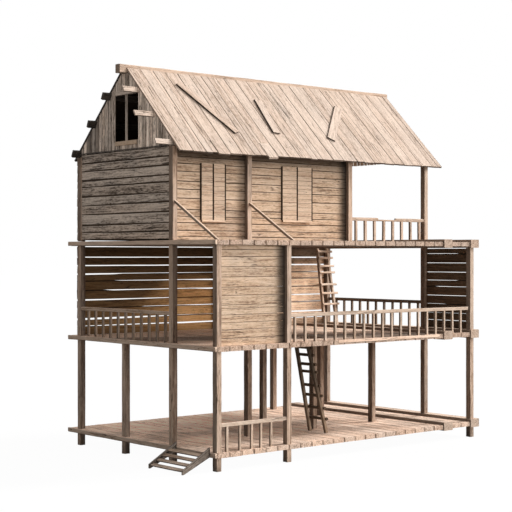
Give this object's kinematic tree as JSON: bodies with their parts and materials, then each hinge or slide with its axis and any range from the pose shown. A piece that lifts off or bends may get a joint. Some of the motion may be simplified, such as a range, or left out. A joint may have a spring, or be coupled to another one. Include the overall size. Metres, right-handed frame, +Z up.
{
  "type": "stilted timber watchtower",
  "caption": "Timber watchtower on square posts with stacked plank decks, a shuttered cabin under a steep gable roof, slatted walls, railings, ladders and a short stair.",
  "frame": {"origin": "middle of the footprint at ground level", "axes": "+X along the long front to the right, towards the veranda; +Y from the front to the rear; +Z up"},
  "size_m": [11.25, 6.8, 10.6747],
  "materials": {
    "post_timber": "bare weathered wood",
    "deck_timber": "bare weathered wood",
    "beam_timber": "bare weathered wood",
    "rail_timber": "bare weathered wood",
    "grey_timber": "bare weathered wood",
    "ladder_timber": "bare weathered wood",
    "wall_timber": "bare weathered wood",
    "dark_timber": "bare weathered wood",
    "shutter_timber": "bare weathered wood",
    "roof_timber": "bare weathered wood"
  },
  "bodies": {
    "root": {"foot_posts": "post_timber", "front_ground_posts": "post_timber", "second_ground_posts": "post_timber", "third_ground_posts": "post_timber", "rear_ground_posts": "post_timber", "lower_deck": "deck_timber", "lower_deck_beams": "beam_timber", "lower_front_railing": "rail_timber", "stair_stringers": "grey_timber", "stair_treads": "rail_timber", "lower_ladder_stiles": "ladder_timber", "lower_ladder_rungs": "ladder_timber", "middle_deck": "deck_timber", "middle_deck_beams": "beam_timber", "middle_posts": "post_timber", "middle_front_wall": "wall_timber", "middle_rear_wall": "wall_timber", "middle_right_wall": "dark_timber", "middle_left_railing": "rail_timber", "middle_front_railing": "rail_timber", "middle_right_railing": "rail_timber", "upper_ladder_stiles": "ladder_timber", "upper_ladder_rungs": "ladder_timber", "upper_deck": "deck_timber", "upper_deck_beams": "beam_timber", "cabin_posts": "post_timber", "veranda_posts": "post_timber", "deck_braces": "rail_timber", "cabin_front_wall": "wall_timber", "cabin_left_wall": "grey_timber", "cabin_rear_wall": "grey_timber", "veranda_wall_front": "wall_timber", "veranda_wall_rear": "wall_timber", "veranda_wall_over_door": "wall_timber", "shutters": "shutter_timber", "shutter_ledges": "shutter_timber", "veranda_railing": "rail_timber", "front_purlins": "roof_timber", "rear_purlins": "roof_timber", "left_gable": "grey_timber", "gable_window_trim": "grey_timber", "right_gable": "wall_timber", "ridge_beam": "roof_timber", "front_roof_slope": "roof_timber", "rear_roof_slope": "roof_timber", "loose_roof_planks": "roof_timber"}
  },
  "joints": []
}
